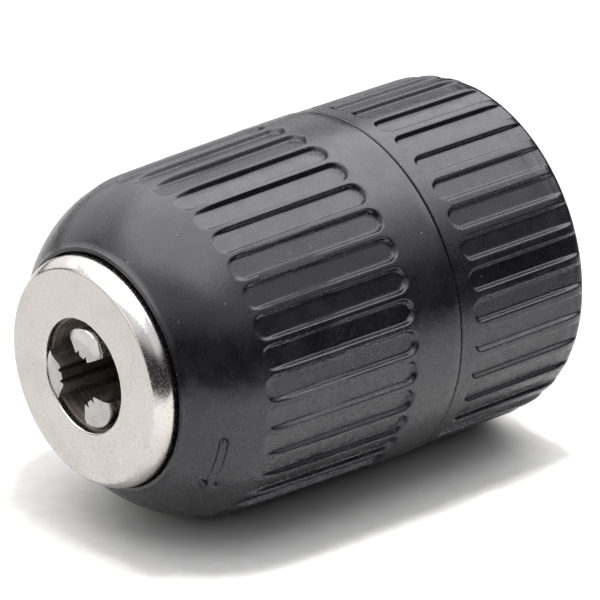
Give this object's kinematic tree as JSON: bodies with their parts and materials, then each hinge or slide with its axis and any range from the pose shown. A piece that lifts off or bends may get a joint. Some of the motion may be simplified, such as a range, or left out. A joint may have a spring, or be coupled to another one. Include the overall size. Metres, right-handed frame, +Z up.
{
  "type": "keyless drill chuck",
  "caption": "Keyless drill chuck: turning the ribbed front sleeve against the rear sleeve slides three slanted jaws in or out of the nose to grip a drill bit.",
  "frame": {"origin": "centre of the spindle thread's mouth, on the rear face of the body", "axes": "+Y along the chuck's axis out of the spindle thread, nose towards -Y, +Z up, +X to the right seen from the nose"},
  "size_m": [0.043, 0.0619, 0.043],
  "materials": {
    "body_steel": "turned and phosphated",
    "plated_steel": "satin nickel plated",
    "black_plastic": "moulded, fine spark-eroded grain",
    "nut_steel": "turned",
    "race_steel": "ground",
    "cage_brass": "stamped",
    "ball_steel": "polished",
    "jaw_steel": "ground and hardened"
  },
  "bodies": {
    "chuck_body": {"body": "body_steel", "nose_ring": "plated_steel", "rear_sleeve": "black_plastic", "thrust_washer": "race_steel"},
    "grip": {"front_sleeve": "black_plastic", "drive_ring": "nut_steel", "nut_band": "nut_steel", "nut_half_a": "nut_steel", "nut_half_b": "nut_steel", "nut_washer": "race_steel"},
    "bearing": {"ball_cage": "cage_brass", "bearing_balls": "ball_steel"},
    "first_jaw": {"jaw_1": "jaw_steel"},
    "second_jaw": {"jaw_2": "jaw_steel"},
    "third_jaw": {"jaw_3": "jaw_steel"}
  },
  "joints": [
    {"name": "sleeve_turn", "type": "hinge", "parent": "chuck_body", "child": "grip", "pos_m": [0, 0, 0], "axis": [0, 1, 0], "range_deg": [-1790, 1190]},
    {"name": "bearing_turn", "type": "hinge", "parent": "chuck_body", "child": "bearing", "pos_m": [0, 0, 0], "axis": [0, 1, 0], "range_deg": [-896, 596]},
    {"name": "first_jaw_slide", "type": "slide", "parent": "chuck_body", "child": "first_jaw", "axis": [-0.0605, -0.9744, -0.2167], "range_m": [-0.01533, 0.01021]},
    {"name": "second_jaw_slide", "type": "slide", "parent": "chuck_body", "child": "second_jaw", "axis": [0.2179, -0.9744, 0.0559], "range_m": [-0.01533, 0.01021]},
    {"name": "third_jaw_slide", "type": "slide", "parent": "chuck_body", "child": "third_jaw", "axis": [-0.1574, -0.9744, 0.1607], "range_m": [-0.01533, 0.01021]}
  ],
  "couplings": [
    {"joint": "bearing_turn", "follows": "sleeve_turn", "ratio": 0.5},
    {"joint": "first_jaw_slide", "follows": "sleeve_turn", "m_per_rad": 0.00049},
    {"joint": "second_jaw_slide", "follows": "sleeve_turn", "m_per_rad": 0.00049},
    {"joint": "third_jaw_slide", "follows": "sleeve_turn", "m_per_rad": 0.00049}
  ]
}
